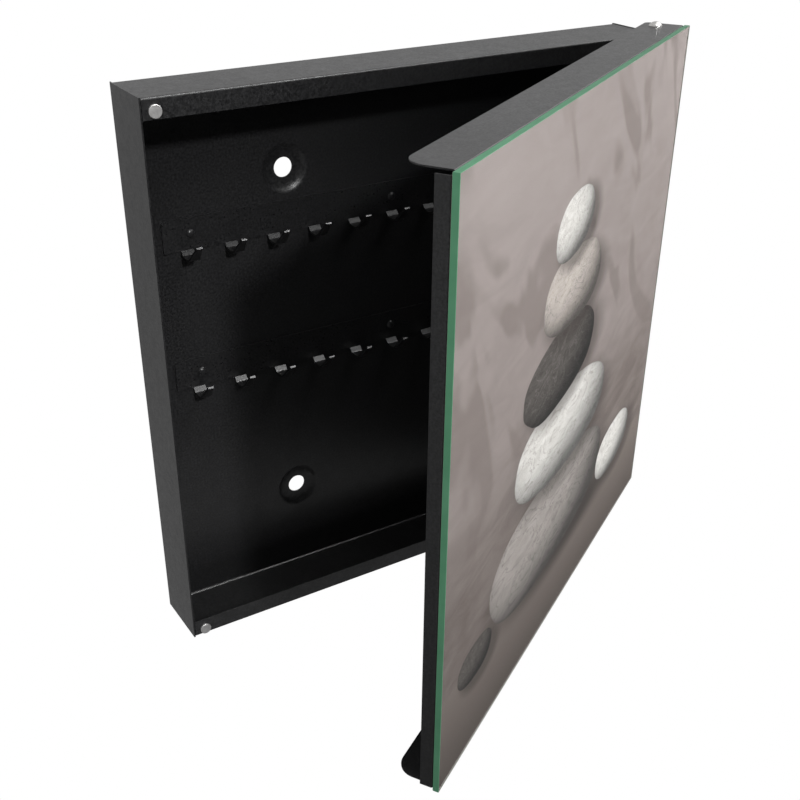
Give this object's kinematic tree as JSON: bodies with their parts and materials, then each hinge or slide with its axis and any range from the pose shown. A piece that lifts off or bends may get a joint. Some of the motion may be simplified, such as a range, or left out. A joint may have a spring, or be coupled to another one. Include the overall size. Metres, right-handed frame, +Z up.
{
  "type": "wall key box",
  "caption": "Shallow square wall key box in black sheet steel with two hook rails inside and a printed glass door that swings open on pivots beside the case.",
  "frame": {"origin": "centre of the four wall holes, in the wall plane", "axes": "+X to the hinge side, +Y into the wall, +Z up; the door is modelled 31.5 degrees open"},
  "size_m": [0.3329, 0.2084, 0.3088],
  "materials": {
    "case_paint": "fine-textured matte black powder coat",
    "painted_rivets": "painted dome heads",
    "magnet_plating": "satin nickel plating",
    "rivet_steel": "zinc-plated satin",
    "washer_nylon": "natural nylon",
    "tape": "white foam tape",
    "print": null,
    "glass": "clear float glass with green edges"
  },
  "bodies": {
    "case": {"case_tray": "case_paint", "rail_upper": "case_paint", "rail_lower": "case_paint", "rail_upper_rivets": "painted_rivets", "rail_lower_rivets": "painted_rivets", "magnet_top": "magnet_plating", "magnet_bottom": "magnet_plating", "hinge_bracket_top": "case_paint", "hinge_bracket_bottom": "case_paint", "bracket_rivets_top": "rivet_steel", "bracket_rivets_bottom": "rivet_steel", "pivot_rivet_top": "rivet_steel", "pivot_rivet_bottom": "rivet_steel", "pivot_washer_top": "washer_nylon", "pivot_washer_bottom": "washer_nylon"},
    "door": {"door_frame": "case_paint", "mounting_tape": "tape", "print_layer": "print", "glass_pane": "glass"}
  },
  "joints": [
    {"name": "door_hinge", "type": "hinge", "parent": "case", "child": "door", "pos_m": [0.1622, -0.0285, 0], "axis": [0, 0, 1], "range_deg": [-31.5, 133.5]}
  ]
}
